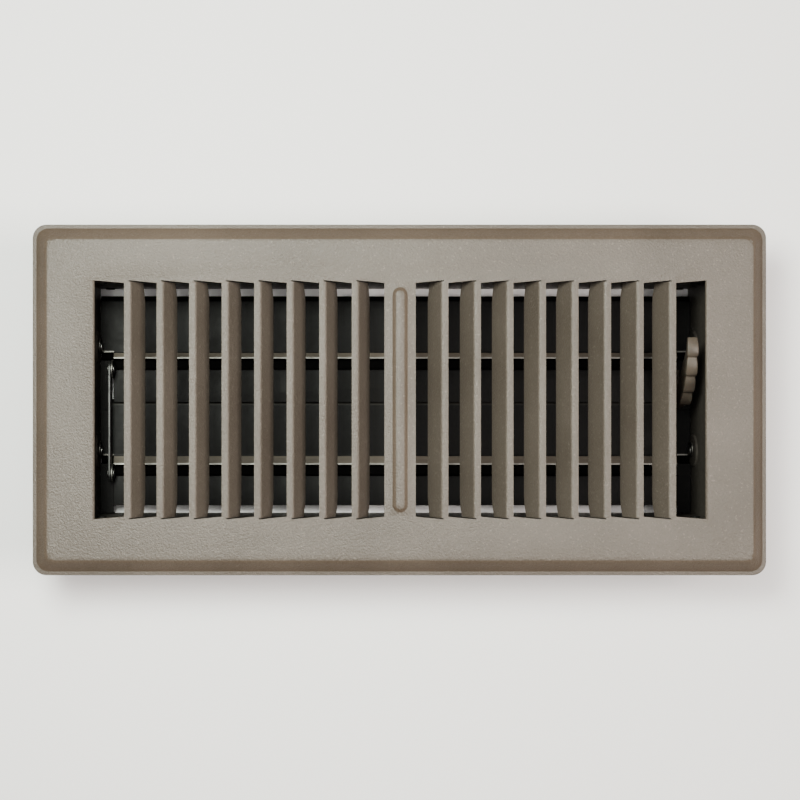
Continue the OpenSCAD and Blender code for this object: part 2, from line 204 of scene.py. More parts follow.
@dataclass(frozen=True)
class PowderCoat:
    """Taupe powder coat, sprayed dry and baked: satin, with a fine sandy grain and slow colour drift."""

    name: str = "satin_taupe_powder_coat"
    low: str = "#463f38"
    high: str = "#534c45"
    roughness: Vec2 = (0.34, 0.45)
    sheen: float = 0.45
    fleck: str = "#938a80"
    fleck_share: float = 0.18
    grain_mm: float = 0.8  # real grit is about 0.3 mm; drawn coarser so that it shows
    fleck_mm: float = 0.9  # real flecks are single grains; drawn coarser so that they show
    peel_mm: float = 3.2  # the slow waves that melted powder sets in
    drift_mm: float = 38  # uneven film thickness from the spray

    def make(self) -> Material:
        """Builds the node material."""
        made, tree, place = start_material(self.name)
        sizes = (
            (self.grain_mm, 3.0, 0.65), (self.peel_mm, 2.0, 0.5), (self.drift_mm, 2.0, 0.5),
            (self.fleck_mm, 1.0, 0.5))
        grain, peel, drift, grit = (
            add(tree, "TexNoise", {
                "Vector": place, "Scale": per_mm(size), "Detail": detail, "Roughness": rough}).outputs["Fac"]
            for size, detail, rough in sizes)
        mixed = add(tree, "Math", {0: grain, 1: drift}, operation="ADD").outputs[0]
        coat = stain(tree, mixed, (0.72, 1.28), self.low, self.high)
        colour = stain(tree, grit, (0.64, 0.74), coat, self.fleck, self.fleck_share)
        soft = add(tree, "Bump", {"Height": peel, "Strength": 0.15, "Distance": 0.0002}).outputs[0]
        surface = relief(tree, grain, (1.0, 0.0003), self.roughness, under=soft)
        end_material(tree, {"Base Color": colour, "IOR": 1.5, "Specular IOR Level": self.sheen, **surface})
        return made


@dataclass(frozen=True)
class CoilCoat:
    """Coil coating, rolled on flat strip before folding: even and satin, with faint streaks and dust."""

    name: str
    low: str
    high: str
    dust: str = "#43403b"
    dust_share: float = 0.05
    sheen: float = 0.15
    roughness: Vec2 = (0.4, 0.55)
    streak_mm: float = 1.4
    speck_mm: float = 2.6
    haze_mm: float = 26
    stretch: float = 0.06  # scale along the strip, so a streak is about 17 times as long as wide

    def make(self) -> Material:
        """Builds the node material."""
        made, tree, place = start_material(self.name)
        strip = add(tree, "Mapping", {"Vector": place, "Scale": (self.stretch, 1.0, 1.0)})
        streak = add(tree, "TexNoise", {
            "Vector": strip.outputs[0], "Scale": per_mm(self.streak_mm), "Detail": 4.0}).outputs["Fac"]
        haze = add(tree, "TexNoise", {
            "Vector": place, "Scale": per_mm(self.haze_mm), "Detail": 3.0, "Distortion": 0.6})
        speck = add(tree, "TexNoise", {
            "Vector": place, "Scale": per_mm(self.speck_mm), "Detail": 5.0, "Roughness": 0.7})
        dusty = {0: speck.outputs["Fac"], 1: haze.outputs["Fac"]}
        fall = add(tree, "Math", dusty, operation="MULTIPLY").outputs[0]
        coat = stain(tree, streak, (0.3, 0.7), self.low, self.high)
        colour = stain(tree, fall, (0.24, 0.42), coat, self.dust, self.dust_share)
        surface = relief(tree, streak, (0.25, 0.00008), self.roughness, fall, (0.15, 0.4))
        end_material(tree, {"Base Color": colour, "IOR": 1.5, "Specular IOR Level": self.sheen, **surface})
        return made


@dataclass(frozen=True)
class BareMetal:
    """Bare or plated steel: sheared, drawn or peened, with fine lines along the strip and a blotchy plate."""

    name: str
    low: str
    high: str
    stretch: Vec3 = (0.15, 1.0, 1.0)
    roughness: Vec2 = (0.28, 0.46)
    blotch_mm: float = 2.2
    line_mm: float = 0.5  # real scratches are far finer; drawn coarser so that they show

    def make(self) -> Material:
        """Builds the node material."""
        made, tree, place = start_material(self.name)
        strip = add(tree, "Mapping", {"Vector": place, "Scale": self.stretch})
        line = add(tree, "TexNoise", {
            "Vector": strip.outputs[0], "Scale": per_mm(self.line_mm), "Detail": 3.0}).outputs["Fac"]
        blotch = add(tree, "TexVoronoi", {
            "Vector": place, "Scale": per_mm(self.blotch_mm), "Randomness": 0.9}).outputs["Color"]
        shade = add(tree, "Math", {0: blotch, 1: line}, operation="MULTIPLY").outputs[0]
        tones = {0: shade, 6: linear(self.low), 7: linear(self.high)}
        colour = add(tree, "Mix", tones, data_type="RGBA").outputs[2]
        surface = relief(tree, line, (0.3, 0.00006), self.roughness)
        end_material(tree, {"Base Color": colour, "Metallic": 1.0, **surface})
        return made


@dataclass(frozen=True)
class MouldedPlastic:
    """Injection-moulded polypropylene: matt from its mould, a little waxy, with faint flow marks."""

    name: str = "moulded_taupe_polypropylene"
    low: str = "#38322c"
    high: str = "#474038"
    roughness: Vec2 = (0.32, 0.46)
    sheen: float = 0.26
    wax: float = 0.04
    texture_mm: float = 0.6
    flow_mm: float = 9

    def make(self) -> Material:
        """Builds the node material."""
        made, tree, place = start_material(self.name)
        spark = add(tree, "TexNoise", {
            "Vector": place, "Scale": per_mm(self.texture_mm), "Detail": 3.0}).outputs["Fac"]
        flow = add(tree, "TexNoise", {
            "Vector": place, "Scale": per_mm(self.flow_mm), "Detail": 3.0, "Distortion": 1.2}).outputs["Fac"]
        colour = stain(tree, flow, (0.3, 0.7), self.low, self.high)
        surface = relief(tree, spark, (0.4, 0.00008), self.roughness)
        end_material(tree, {
            "Base Color": colour, "IOR": 1.49, "Specular IOR Level": self.sheen,
            "Subsurface Weight": self.wax, "Subsurface Scale": MM, **surface})
        return made


def finish(look: PowderCoat | CoilCoat | BareMetal | MouldedPlastic) -> Material:
    """Declares a finish whose material is built with the register's Finishes."""
    return field(default_factory=look.make)


@dataclass
class Finishes:
    """Every finish on the register, made once."""

    # sprayed powder: satin, sandy, a broad soft sheen over the face
    powder: Material = finish(PowderCoat())
    # painted shade: a browner, darker and duller copy of the powder coat, laid on the rim's slope and the
    # rib's flanks where they tilt away from the light
    rim: Material = finish(PowderCoat(
        "thin_powder_coat_on_the_rim", "#42382e", "#4f443a", (0.46, 0.58), 0.26, fleck_share=0.05))
    # painted highlight: a paler copy of the powder coat on each strip's sheared edge, a thin bright line
    # where the rounded edge would catch the light
    edge_highlight: Material = finish(PowderCoat("powder_coat_bead_on_sheared_edges", "#8a8176", "#a29a8f", (0.3, 0.4)))
    # rolled black paint: dark, even, a little dust
    box: Material = finish(CoilCoat("satin_black_coil_coat", "#33302d", "#3e3b37", "#4a453d", 0.12))
    # rolled charcoal paint: the darkest broad surface, so the blades sink into the box
    blade: Material = finish(CoilCoat("satin_charcoal_coil_coat", "#030304", "#060606", sheen=0.08))
    # paint rubbed off by the other blade: a bright line along each fold's crest
    edge: Material = finish(BareMetal(
        "bare_rubbed_steel_edge", "#666562", "#8b8a86", roughness=(0.42, 0.58)))
    # painted reflection: a lighter, warm grey copy of the charcoal coat on the fold's slope, a band behind
    # the bright line where the tilted face would catch light
    slope: Material = finish(CoilCoat(
        "stretched_charcoal_coat", "#4a453e", "#554f47", dust_share=0.06, sheen=0.16, roughness=(0.45, 0.6)))
    # painted light: a lighter coat on the front blade's rear lip, halfway between the two above, that paints
    # out the dark shade in the gap where the blades meet
    lip_lightened_over_shade: Material = finish(CoilCoat("scuffed_charcoal_coat", "#171715", "#1f1e1c", sheen=0.11))
    # painted shade: a near-black, matt copy of the coat in the groove, where shade falls under the fold
    groove: Material = finish(CoilCoat(
        "matt_black_groove_paint", "#010101", "#020202", "#060605", 0.04, 0.03, (0.7, 0.85)))
    # plate on blanked strip: dull grey with fine upright lines
    zinc: Material = finish(BareMetal("dull_zinc_plate", "#4f5050", "#797979", (1.0, 1.0, 0.2), (0.45, 0.6)))
    # plate on a hammered head: small bright blotches
    rivet: Material = finish(BareMetal(
        "peened_zinc_rivet", "#60605f", "#8d8d8c", stretch=(1.0, 1.0, 1.0), blotch_mm=0.9))
    # rivets painted with the box: black, a shade dustier
    painted: Material = finish(CoilCoat("satin_black_rivet_paint", "#080706", "#0e0e0c", dust_share=0.1))
    # moulded taupe: close to the powder's colour, but waxy
    plastic: Material = finish(MouldedPlastic())

    def folded(self) -> list[Material]:
        """Gives a folded blade's finishes, in slot order."""
        return [self.blade, self.edge, self.groove, self.slope, self.lip_lightened_over_shade]


# ---- modelling helpers; places and sizes are in millimetres ----


def near(a: float, b: float) -> bool:
    """Says whether two places are the same."""
    return abs(a - b) < 0.02


def fresh() -> None:
    """Leaves edit mode and deselects everything."""
    if bpy.context.object and bpy.context.object.mode != "OBJECT":
        bpy.ops.object.mode_set(mode="OBJECT")
    bpy.ops.object.select_all(action="DESELECT")


def hold(piece: Piece) -> None:
    """Makes a piece the active one, and the only one that is selected.

    Args:
        piece: the piece.
    """
    fresh()
    bpy.context.view_layer.objects.active = piece
    piece.select_set(True)


def edit_all(piece: Piece) -> None:
    """Enters edit mode with all of a piece's mesh selected.

    Args:
        piece: the piece.
    """
    hold(piece)
    bpy.ops.object.mode_set(mode="EDIT")
    bpy.ops.mesh.select_all(action="SELECT")


def begin(name: str) -> Piece:
    """Starts an empty mesh piece and enters edit mode.

    Args:
        name: the piece's name.

    Returns:
        The piece.
    """
    fresh()
    bpy.ops.mesh.primitive_plane_add(size=1)
    piece = bpy.context.object
    piece.name = piece.data.name = name
    edit_all(piece)
    bpy.ops.mesh.delete(type="VERT")
    return piece


def close_up() -> None:
    """Turns all faces of the piece in edit mode outwards, and leaves edit mode."""
    bpy.ops.mesh.select_all(action="SELECT")
    bpy.ops.mesh.normals_make_consistent(inside=False)
    bpy.ops.object.mode_set(mode="OBJECT")


def pick(part: Part, test: Test) -> None:
    """Selects what passes a test by its middle, on the object in edit mode, and nothing else.

    Args:
        part: what is selected.
        test: takes a middle in millimetres.
    """
    bpy.ops.mesh.select_mode(type=part.name)
    bpy.ops.mesh.select_all(action="DESELECT")
    mesh = bmesh.from_edit_mesh(bpy.context.object.data)
    for one in getattr(mesh, part.value):
        if part is Part.VERT:
            middle = one.co
        elif part is Part.EDGE:
            middle = (one.verts[0].co + one.verts[1].co) / 2
        else:
            middle = one.calc_center_bounds()
        if test(middle / MM):
            one.select_set(True)
    mesh.select_flush_mode()
    bmesh.update_edit_mesh(bpy.context.object.data)


def move(x: float = 0, y: float = 0, z: float = 0) -> None:
    """Moves the selection."""
    bpy.ops.transform.translate(value=(x * MM, y * MM, z * MM))


def pull(across: Axis, line: Sequence[Vec2], sign: int = 1) -> None:
    """Extrudes the selected edges along a line of points.

    Args:
        across: the axis that the points' first values lie along; the second ones are heights.
        line: the points, from where the edges are.
        sign: -1 mirrors the line across that axis.
    """
    for (before, low), (after, high) in zip(line, line[1:]):
        step = [0.0, 0.0, (high - low) * MM]
        step[across] = sign * (after - before) * MM
        bpy.ops.mesh.extrude_edges_move(TRANSFORM_OT_translate={"value": step})


def thicken(x: float = 0, z: float = 0) -> None:
    """Extrudes the whole flat blank in edit mode along X or Z, and closes it."""
    bpy.ops.mesh.select_all(action="SELECT")
    bpy.ops.mesh.extrude_region_move(TRANSFORM_OT_translate={"value": (x * MM, 0, z * MM)})
    close_up()


def cut(axis: Axis, at: float, test: Test) -> None:
    """Cuts the faces that pass a test along one plane.

    Args:
        axis: what the plane faces.
        at: the plane's place.
        test: takes a face's middle in millimetres.
    """
    pick(Part.FACE, test)
    centre = [0.0] * 3
    normal = [0.0] * 3
    centre[axis] = at * MM
    normal[axis] = 1.0
    bpy.ops.mesh.bisect(plane_co=centre, plane_no=normal, threshold=1e-7)


def face_up(test: Test) -> None:
    """Makes an open sheet's normals agree and point up where a face passes a test.

    Args:
        test: takes a face's middle in millimetres; one such face has to face up.
    """
    bpy.ops.mesh.select_all(action="SELECT")
    bpy.ops.mesh.normals_make_consistent(inside=False)
    mesh = bmesh.from_edit_mesh(bpy.context.object.data)
    mesh.normal_update()
    for one in mesh.faces:
        if test(one.calc_center_bounds() / MM):
            if one.normal.z < 0:
                bpy.ops.mesh.flip_normals()
            return


def sheet(x: Vec2, y: Vec2, z: float) -> None:
    """Adds a flat rectangle to the piece in edit mode.

    Args:
        x: its two sides in X.
        y: its two sides in Y.
        z: its height.
    """
    place = ((x[0] + x[1]) / 2 * MM, (y[0] + y[1]) / 2 * MM, z * MM)
    bpy.ops.mesh.primitive_plane_add(size=1, location=place)
    bpy.ops.transform.resize(value=((x[1] - x[0]) * MM, (y[1] - y[0]) * MM, 1), center_override=place)


def disc(sides: int, radius: float, place: Sequence[float], axis: Axis) -> None:
    """Adds a round face about a place to the piece in edit mode, facing along an axis."""
    bpy.ops.mesh.primitive_circle_add(
        vertices=sides, radius=radius * MM, fill_type="NGON",
        location=[c * MM for c in place], rotation=TURNS[axis])


def arc(centre: Vec2, radius: float, start: float, end: float, count: int) -> list[Vec2]:
    """Gives the count + 1 points along an arc, between two angles in degrees."""
    angles = [math.radians(start + (end - start) * i / count) for i in range(count + 1)]
    return [(centre[0] + radius * math.cos(a), centre[1] + radius * math.sin(a)) for a in angles]


def give(piece: Piece, materials: Sequence[Material]) -> None:
    """Gives a piece its material slots, unless it has them already.

    Args:
        piece: the piece.
        materials: the slots in order.
    """
    if len(piece.data.materials) != len(materials):
        piece.data.materials.clear()
        for material in materials:
            piece.data.materials.append(material)


def apply_modifier(piece: Piece, kind: str, **settings: object) -> None:
    """Adds one modifier and applies it.

    Args:
        piece: the piece, in object mode.
        kind: the modifier's type.
        **settings: the modifier's properties.
    """
    hold(piece)
    made = piece.modifiers.new(kind.lower(), kind)
    for name, value in settings.items():
        setattr(made, name, value)
    bpy.ops.object.modifier_apply(modifier=made.name)


def soften(piece: Piece, width: float, segments: int, angle: float) -> None:
    """Rounds a piece's edges that are sharper than an angle in degrees, by a width."""
    apply_modifier(
        piece, "BEVEL", width=width * MM, segments=segments, limit_method="ANGLE",
        angle_limit=math.radians(angle), use_clamp_overlap=True)


def thicken_sheet(piece: Piece, thick: float, offset: float) -> None:
    """Gives an open sheet its thickness: about its middle at offset 0, or behind its face at -1."""
    apply_modifier(piece, "SOLIDIFY", thickness=thick * MM, offset=offset, use_even_offset=True)


def drill(piece: Piece, place: Vec3, radius: float, axis: Axis = Axis.X) -> None:
    """Drills a round hole through a closed piece.

    Args:
        piece: the piece, in object mode.
        place: the hole's middle.
        radius: its radius.
        axis: what the hole runs along.
    """
    fresh()
    bpy.ops.mesh.primitive_cylinder_add(
        vertices=32, radius=radius * MM, depth=6 * MM, location=[c * MM for c in place], rotation=TURNS[axis])
    cutter = bpy.context.object
    apply_modifier(piece, "BOOLEAN", operation="DIFFERENCE", solver="EXACT", object=cutter)
    bpy.data.objects.remove(cutter)


def weld(name: str, pieces: Sequence[Piece]) -> Piece:
    """Joins pieces into the first of them and names it.

    Args:
        name: the joined piece's name.
        pieces: the pieces, in object mode.

    Returns:
        The joined piece.
    """
    hold(pieces[0])
    for one in pieces:
        one.select_set(True)
    bpy.ops.object.join()
    pieces[0].name = pieces[0].data.name = name
    return pieces[0]


def carry(piece: Piece, y: float, z: float) -> None:
    """Moves a finished piece's mesh.

    Args:
        piece: the piece.
        y: the move along Y.
        z: the move along Z.
    """
    edit_all(piece)
    move(y=y, z=z)
    bpy.ops.object.mode_set(mode="OBJECT")


def copy_of(piece: Piece, name: str, scale: Vec3 = (1, 1, 1), shift: Vec3 = (0, 0, 0)) -> Piece:
    """Copies a finished piece with its own mesh, mirrored and moved in edit mode.

    Args:
        piece: the piece that is copied.
        name: the copy's name.
        scale: -1 mirrors along that axis.
        shift: the move after the mirror.

    Returns:
        The copy, in object mode.
    """
    hold(piece)
    bpy.ops.object.duplicate()
    made = bpy.context.object
    made.name = made.data.name = name
    edit_all(made)
    bpy.ops.transform.resize(value=scale, center_override=(0, 0, 0))
    move(*shift)
    close_up()
    return made


def upright(name: str, x: float, y: Vec2, z: Vec2, thick: float) -> Piece:
    """Makes a round-topped upright tab that is closed and has its thickness about x.

    Args:
        name: the piece's name.
        x: the middle of its thickness.
        y: its two sides.
        z: its foot and its crest.
        thick: its thickness.

    Returns:
        The tab, in object mode.
    """
    piece = begin(name)
    radius = (y[1] - y[0]) / 2
    middle = z[1] - radius
    disc(32, radius, (x - thick / 2, y[0] + radius, middle), Axis.X)
    pick(Part.VERT, lambda m: m.z < middle - 0.05)
    bpy.ops.transform.resize(value=(1, 1, 0), center_override=(0, 0, z[0] * MM))
    thicken(x=thick)
    return piece


def turned(name: str, start: Vec3, axis: Axis, profile: Sequence[Vec2]) -> Piece:
    """Turns a closed round piece, such as a rivet, by extruding and resizing one disc.

    Args:
        name: the piece's name.
        start: a point on its axis, where the profile's places start from.
        axis: what it lies along.
        profile: places along the axis, and radii.

    Returns:
        The piece, in object mode.
    """
    piece = begin(name)
    centre = list(start)
    centre[axis] = start[axis] + profile[0][0]
    disc(RIVET_SIDES, profile[0][1], centre, axis)
    for (_, before), (along, radius) in zip(profile, profile[1:]):
        shift = [0.0] * 3
        shift[axis] = start[axis] + along - centre[axis]
        bpy.ops.mesh.extrude_region_move()
        move(*shift)
        centre[axis] += shift[axis]
        factor = [radius / before] * 3
        factor[axis] = 1.0
        bpy.ops.transform.resize(value=factor, center_override=[c * MM for c in centre])
    close_up()
    return piece


def settle(
    piece: Piece, materials: Sequence[Material], body: str, slot: str, *nodes: str, angle: float = 40,
) -> None:
    """Gives a piece its materials and shading, hands it to the frame and reports it.

    Args:
        piece: the piece, in object mode.
        materials: its slots in order.
        body: the CAD body that carries it.
        slot: the slot that its finish comes from; not used.
        *nodes: the CAD nodes it stands for.
        angle: edges sharper than this many degrees stay sharp.
    """
    give(piece, materials)
    hold(piece)
    bpy.ops.object.transform_apply(location=True, rotation=True, scale=True)
    bpy.ops.object.shade_smooth_by_angle(angle=math.radians(angle))
    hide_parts(*nodes)
    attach(piece, body)
    log.info("%s: %d faces, rides on %s", piece.name, len(piece.data.polygons), body)


def dress(node: str, material: Material) -> None:
    """Gives a CAD node its finish.

    Args:
        node: the CAD node's name.
        material: its finish.
    """
    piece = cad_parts[node]
    if not piece.material_slots:
        piece.data.materials.append(material)
    for place in piece.material_slots:
        place.material = material


# ---- faceplate ----


@dataclass
class Faceplate:
    """The stamped face: lip, sloping rim, two banks of lanced fins and an embossed rib. Sizes in mm."""

    finishes: Finishes
    length: float = 292.1
    width: float = 139.7
    height: float = 5.0
    sheet_t: float = 0.8
    rim_run: float = 8.0  # from the lip's edge to the flat of the face
    fins: int = 8
    bar: float = 12.4
    pitch: float = 12.8625
    strip: float = 1.8
    slot_half: float = 47.3
    slants: Vec2 = (1.1, 0.9)  # how far the slots' ends lean, at the end and at the fin's first station
    end_slot: float = 11.7
    fin_lean: float = 27
    fin_low: float = -4.2
    fin_end_part: float = 0.85
    fin_end_run: float = 8.0
    fin_inset: float = 0.5
    bend: float = 1.5
    roll: float = 1.3
    roll_run: float = 1.246  # how wide the rolled border is, seen from above
    rib_half: float = 3.2
    rib_gap: float = 2.6
    rib_steps: tuple[Vec2, ...] = (
        (0.22, 0.07), (0.3, 0.23), (0.45, 0.34), (0.55, 0.28), (0.6, 0.16), (0.6, 0.09), (0.4, 0.03))
    slope_tilts: Vec2 = (0.3, 0.96)  # the upward part of a normal on the rim's slope
    highlight_run: Vec2 = (-0.27, 0.02)  # where the painted highlight lies, from a strip's sheared edge
    edge_round: float = 0.28
    # the lip, the rim and its shoulder from outside inwards: inset, height and corner radius
    loops: tuple[Vec3, ...] = (
        (0.0, 0.55, 5.5), (0.12, 0.72, 5.4), (0.32, 0.775, 5.2), (1.35, 0.8, 4.8), (1.62, 0.86, 4.7),
        (1.9, 1.06, 4.6), (4.35, 3.5, 3.9), (4.8, 3.95, 3.8), (5.25, 4.33, 3.7), (5.75, 4.63, 3.6),
        (6.35, 4.86, 3.5), (7.1, 4.97, 3.4), (8.0, 5.0, 3.2))

    def build(self) -> None:
        """Models the plate, gives it its coats and hands it over."""
        piece = self.rim()
        self.slots()
        self.rib()
        self.fin_banks()
        self.rolls()
        face_up(lambda m: abs(m.y) > self.slot_half + self.bend and abs(m.z - self.height) < 0.1)
        bpy.ops.object.mode_set(mode="OBJECT")
        thicken_sheet(piece, self.sheet_t, -1)
        soften(piece, self.edge_round, 3, 50)
        coats = [self.finishes.powder, self.finishes.rim, self.finishes.edge_highlight]
        give(piece, coats)
        self.coat(piece)
        settle(piece, coats, "register", "face_powder", "faceplate", angle=32)

    def coat(self, piece: Piece) -> None:
        """Gives the rim's slope and the rib's flanks a darker coat as painted shade, and the strips' sheared
        edges a paler coat as a painted highlight.

        Args:
            piece: the plate, with its material slots.
        """
        outer = [self.edge_of(number) for number in range(1, self.fins + 1)]
        reach = self.rim_run + 0.2
        for one in piece.data.polygons:
            middle = one.center / MM
            tilt = one.normal.z
            x = abs(middle.x)
            y = abs(middle.y)
            far = x > self.length / 2 - reach or y > self.width / 2 - reach
            slope = far and self.slope_tilts[0] < tilt < self.slope_tilts[1] and middle.z > 0.9
            on_rib = x < self.rib_half + 0.1 and y < self.slot_half - 2
            flank = on_rib and middle.z > self.height and tilt < 0.9
            highlighted = any(self.highlight_run[0] < x - edge < self.highlight_run[1] for edge in outer)
            # painted shade: the rim's slope and the rib's flanks get the darker rim coat because they tilt
            # away from the light
            if flank or slope:
                one.material_index = 1
            # painted highlight: the strips' sheared edges get the paler coat
            elif highlighted and tilt > -0.3 and middle.z > self.height - 0.5 and y < self.slot_half:
                one.material_index = 2

    def rim(self) -> Piece:
        """Models the lip and the rim as bridged rounded loops, and fills the face."""
        piece = begin("stamped_faceplate")
        for inset, z, corner in self.loops:
            length = self.length / 2 - inset
            width = self.width / 2 - inset
            sheet((-length, length), (-width, width), z)
            bpy.ops.mesh.bevel(offset=corner * MM, segments=8, affect="VERTICES")
            pick(Part.FACE, lambda m: m.xy.length < 1 and near(m.z, z))
            bpy.ops.mesh.delete(type="ONLY_FACE")
        for (_, low, _), (_, high, _) in zip(self.loops, self.loops[1:]):
            pick(Part.EDGE, lambda m: min(abs(m.z - low), abs(m.z - high)) < 0.004)
            bpy.ops.mesh.bridge_edge_loops()
        pick(Part.EDGE, lambda m: abs(m.z - self.height) < 0.004)
        bpy.ops.mesh.edge_face_add()
        return piece

    def on_face(self, middle: Vector) -> bool:
        """Says whether a place is at the height of the face."""
        return near(middle.z, self.height)

    def edge_of(self, number: int) -> float:
        """Gives the outer edge of strip number, counted from the bar."""
        return self.bar / 2 + number * self.pitch

    def border(self) -> float:
        """Gives where the rolled border of the end slots starts."""
        return self.edge_of(self.fins) + self.end_slot + self.roll_run

    def stations(self) -> list[float]:
        """Gives the places along a fin, from its end inwards, where its lower edge bends."""
        half = self.slot_half - self.fin_inset
        return [half - run for run in (0, 1.0, 2.4, 4.6, self.fin_end_run)]

    def slots(self) -> None:
        """Cuts the slots out of the face."""
        last = self.border()
        reach = self.rim_run - 0.1

        def inside(m: Vector) -> bool:
            """Says whether a face lies on the flat."""
            short = abs(m.x) < self.length / 2 - reach
            return self.on_face(m) and short and abs(m.y) < self.width / 2 - reach

        def in_field(m: Vector) -> bool:
            """Says whether a face lies between the rolled borders."""
            return self.on_face(m) and abs(m.y) < self.slot_half and abs(m.x) < last

        for end in End:
            cut(Axis.Y, end.value * self.slot_half, inside)
            cut(Axis.X, end.value * last, inside)
        for end in End:
            for number in range(self.fins + 1):
                cut(Axis.X, end.value * self.edge_of(number), in_field)
                if number:
                    cut(Axis.X, end.value * (self.edge_of(number) - self.strip), in_field)
        pick(Part.FACE, lambda m: in_field(m) and self.in_slot(abs(m.x)))
        bpy.ops.mesh.delete(type="ONLY_FACE")
        for side in (-1, 1):
            for place in self.stations():
                cut(Axis.Y, side * place, lambda m: in_field(m) and abs(m.x) > self.bar / 2)
            for number in range(self.fins + 1):
                edge = self.edge_of(number)
                for place, shift in zip((self.slot_half, self.stations()[0]), self.slants):
                    pick(Part.VERT, lambda m: near(abs(m.x), edge) and near(m.y, side * place))
                    move(y=-side * shift)

    def in_slot(self, x: float) -> bool:
        """Says whether a place lies in a slot.

        Args:
            x: its distance from the middle.

        Returns:
            Whether it does.
        """
        if x < self.bar / 2:
            return False
        number = (x - self.bar / 2) / self.pitch
        return number > self.fins or number % 1 < 1 - self.strip / self.pitch

    def rib(self) -> None:
        """Presses the rib up out of the centre bar."""
        reach = self.rib_half + 0.1
        half_bar = self.bar / 2

        def at_middle(m: Vector) -> bool:
            """Says whether a face is the bar's own."""
            return near(m.x, 0) and near(m.y, 0) and self.on_face(m)

        def is_border(m: Vector) -> bool:
            """Says whether an edge borders the bar or the rib."""
            across = abs(m.x) < half_bar + 0.02 and near(abs(m.y), self.slot_half)
            along = near(abs(m.x), half_bar) and abs(m.y) < self.slot_half
            round_rib = abs(m.x) < reach and abs(m.y) < self.slot_half - 1
            return self.on_face(m) and (across or along or round_rib)

        pick(Part.FACE, at_middle)
        bpy.ops.mesh.delete(type="ONLY_FACE")
        disc(32, self.rib_half, (0, 0, self.height), Axis.Z)
        # half a side's turn, so that no corner lies on the middle line
        bpy.ops.transform.rotate(value=math.radians(360 / 64), orient_axis="Z", center_override=(0, 0, 0))
        for side in (-1, 1):
            pick(Part.VERT, lambda m: m.y * side > 0.01 and m.xy.length < reach and self.on_face(m))
            move(y=side * (self.slot_half - self.rib_gap - self.rib_half))
        pick(Part.EDGE, is_border)
        bpy.ops.mesh.bridge_edge_loops()
        pick(Part.FACE, at_middle)
        for across, up in self.rib_steps:
            bpy.ops.mesh.inset(thickness=across * MM, depth=up * MM)

    def fin_line(self) -> list[Vec2]:
        """Gives a fin's outer face from its bend down, leaning towards +X."""
        bend = arc((0, self.height - self.bend), self.bend, 90, self.fin_lean, 6)
        lean = math.radians(self.fin_lean)
        x, z = bend[-1]
        run = (z - self.fin_low) / math.cos(lean)
        half, full = ((x + math.sin(lean) * run * part, z - math.cos(lean) * run * part) for part in (0.5, 1))
        return [*bend, half, full]

    def fin_banks(self) -> None:
        """Pulls the fins down from the strips and rounds their ends up."""
        stations = self.stations()
        for side in (-1, 1):
            edges = [side * (self.edge_of(number) - self.strip) for number in range(1, self.fins + 1)]
            pick(Part.EDGE, lambda m: (
                self.on_face(m) and abs(m.y) < stations[0] and any(near(m.x, edge) for edge in edges)))
            pull(Axis.X, self.fin_line(), -side)
        end_rise = (self.height - self.fin_low) * (1 - self.fin_end_part)
        for place in stations[:-1]:
            part = (stations[0] - place) / self.fin_end_run
            rise = end_rise * (1 - math.sin(math.radians(90 * part)))
            for side in (-1, 1):
                pick(Part.VERT, lambda m: (
                    m.z < self.fin_low + 0.1 and near(abs(m.y), place) and m.x * side > 0))
                move(x=side * math.tan(math.radians(self.fin_lean)) * rise, z=rise)

    def rolls(self) -> None:
        """Rolls the outer border of both end slots down."""
        line = arc((0, self.height - self.roll), self.roll, 90, 20, 5)
        for side in (-1, 1):
            pick(Part.EDGE, lambda m: (
                self.on_face(m) and near(m.x, side * self.border()) and abs(m.y) < self.slot_half))
            pull(Axis.X, line, -side)


# ---- damper ----

PIVOT_Z = -26.0
REAR_PIVOT_Y = 22.2
FRONT_PIVOT_Y = -20.8
WHEEL_RIVET_X = 115.7
WHEEL_RIVET_YS = (-12.3, -17.7)  # from the rear pivot
WHEEL_RIVET_HOLE = 1.12


